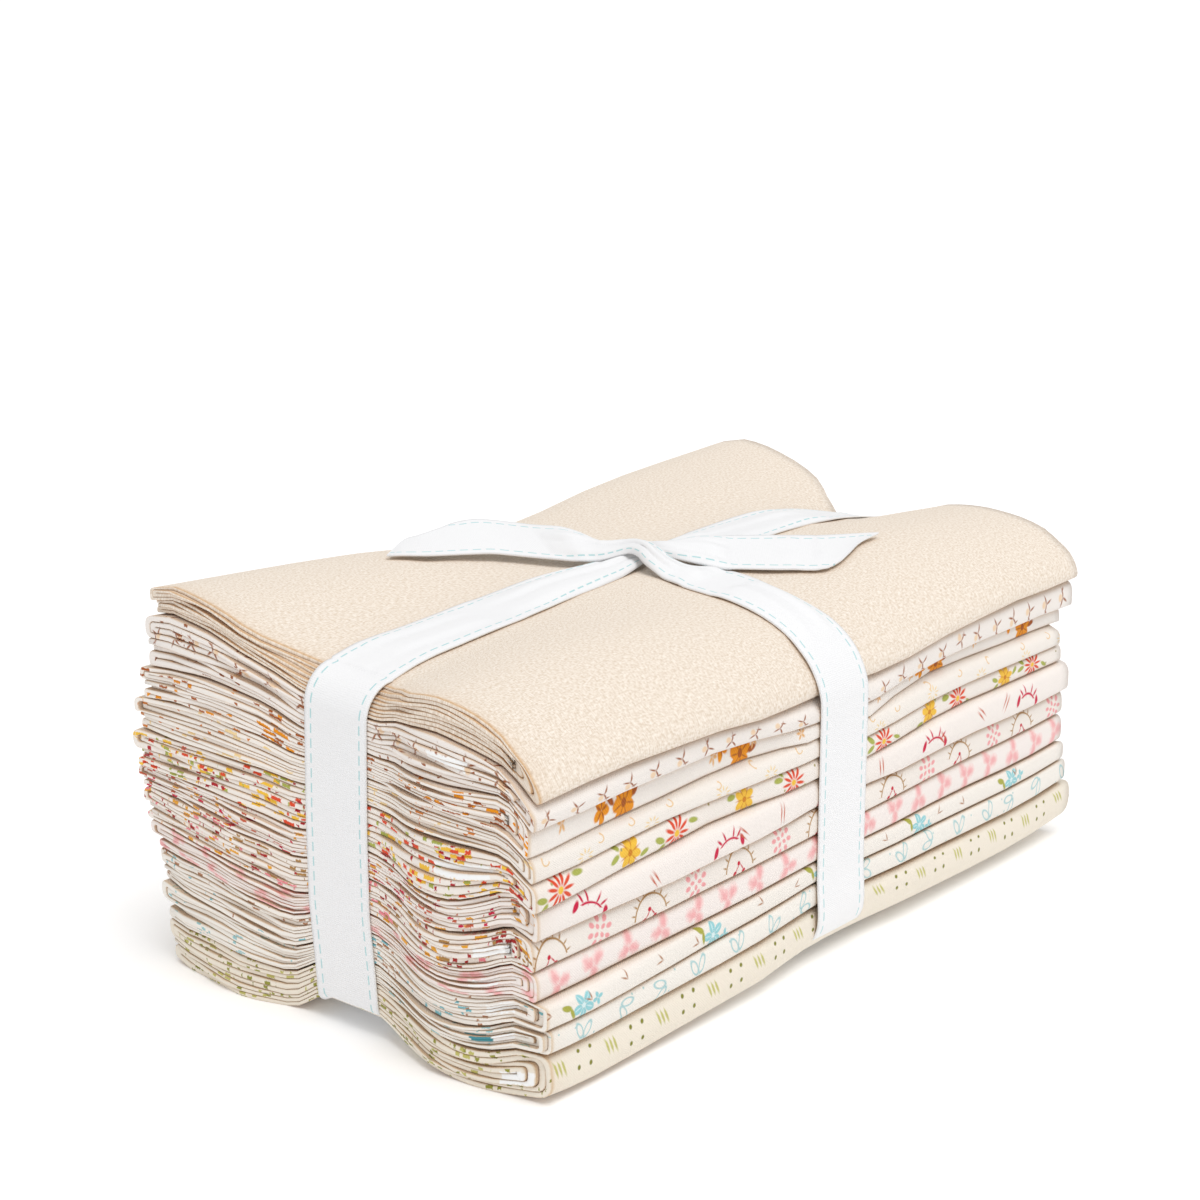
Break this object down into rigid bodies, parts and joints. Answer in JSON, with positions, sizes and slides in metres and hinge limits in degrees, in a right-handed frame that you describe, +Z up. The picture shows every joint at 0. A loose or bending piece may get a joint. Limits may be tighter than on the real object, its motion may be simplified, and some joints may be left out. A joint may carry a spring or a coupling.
{
  "type": "tied fabric bundle",
  "caption": "Stack of folded quilting cottons tied both ways with a flat white ribbon, knotted on top with two slanted free ends.",
  "frame": {"origin": "middle of the bounding box, on the surface that the bundle rests on", "axes": "+X along the bundle from the end with the rounded folds to the end with the cut edges, +Y across it from the side with the outer folds to the side with the open edges, +Z up"},
  "size_m": [0.2344, 0.1348, 0.0992],
  "materials": {
    "cloth_01_oatmeal": "linen-look woven texture",
    "cloth_02_twig": "plain weave with small twigs",
    "cloth_03_amber": "plain weave with amber flower clusters",
    "cloth_04_straw": "plain weave with faint straw sprigs",
    "cloth_05_sprig": "plain weave with yellow flowers and leaves",
    "cloth_06_branch": "plain weave with crimson branches",
    "cloth_07_wreath": "plain weave with garlands and berries",
    "cloth_08_blush": "plain weave with soft pink petals",
    "cloth_09_posy": "plain weave with blue flowers",
    "cloth_10_aqua": "plain weave with aqua rings",
    "cloth_11_dots": "plain weave with dots and dashes",
    "ribbon": "woven tape, soft sheen"
  },
  "bodies": {
    "root": {"cloth_01_oatmeal": "cloth_01_oatmeal", "cloth_02_twig": "cloth_02_twig", "cloth_03_amber": "cloth_03_amber", "cloth_04_straw": "cloth_04_straw", "cloth_05_sprig": "cloth_05_sprig", "cloth_06_branch": "cloth_06_branch", "cloth_07_wreath": "cloth_07_wreath", "cloth_08_blush": "cloth_08_blush", "cloth_09_posy": "cloth_09_posy", "cloth_10_aqua": "cloth_10_aqua", "cloth_11_dots": "cloth_11_dots", "ribbon": "ribbon"}
  },
  "joints": []
}
